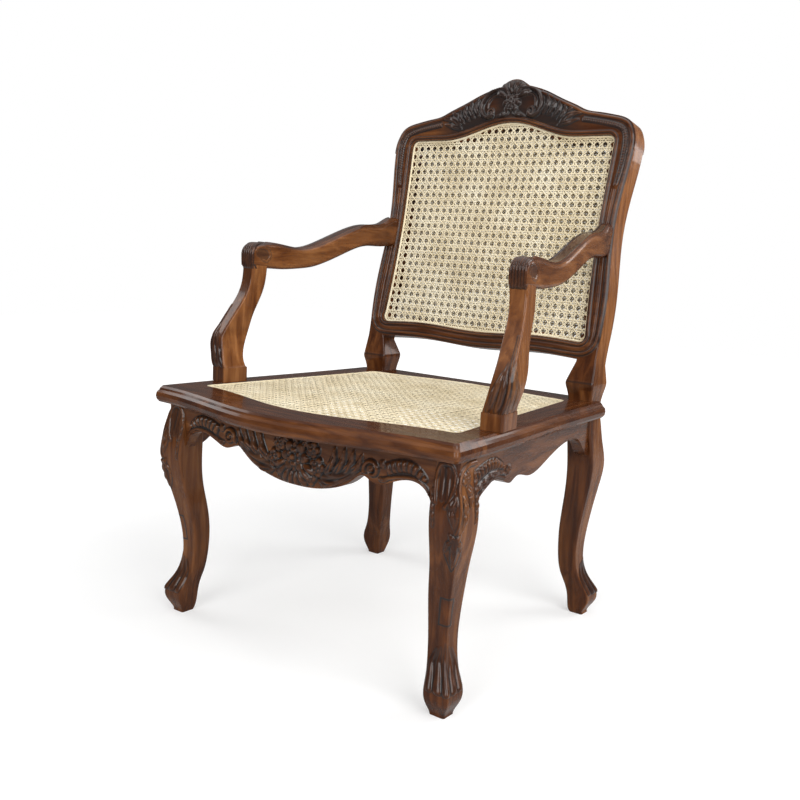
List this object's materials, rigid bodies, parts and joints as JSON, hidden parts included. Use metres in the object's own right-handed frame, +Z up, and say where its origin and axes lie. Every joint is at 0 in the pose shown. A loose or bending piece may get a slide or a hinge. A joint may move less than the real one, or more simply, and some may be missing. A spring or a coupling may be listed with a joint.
{
  "type": "armchair",
  "caption": "Open armchair with cabriole legs, a moulded frame around a caned seat, a raked caned back under a carved crest, and scrolled arms on curved supports.",
  "frame": {"origin": "middle of the whole chair's box, on the floor", "axes": "+Z up, the front of the seat faces -Y, +X to the right as seen from the front; right and left in the node names are as seen from the front"},
  "size_m": [0.6724, 0.7394, 1.0517],
  "materials": {
    "mahogany": "dark red-brown mahogany, semi-gloss lacquer with a near-black glaze in the carving",
    "cane": "natural straw-coloured woven cane, satin",
    "dowel_wood": "plain unfinished hardwood"
  },
  "bodies": {
    "root": {"front_leg_right": "mahogany", "front_leg_left": "mahogany", "rear_post_right": "mahogany", "rear_post_left": "mahogany", "front_apron": "mahogany", "side_apron_right": "mahogany", "side_apron_left": "mahogany", "rear_apron": "mahogany", "seat_board_front": "mahogany", "seat_board_right": "mahogany", "seat_board_left": "mahogany", "seat_board_rear": "mahogany", "crest_rail": "mahogany", "lower_back_rail": "mahogany", "arm_rest_right": "mahogany", "arm_rest_left": "mahogany", "arm_support_right": "mahogany", "arm_support_left": "mahogany", "seat_cane_panel": "cane", "seat_cane_spline": "cane", "back_cane_panel": "cane", "back_cane_spline": "cane", "rear_cane_panel": "cane", "rear_cane_spline": "cane", "leg_dowels": "dowel_wood", "seat_frame_dowels": "dowel_wood", "arm_back_dowels": "dowel_wood", "arm_support_dowels": "dowel_wood"}
  },
  "joints": []
}
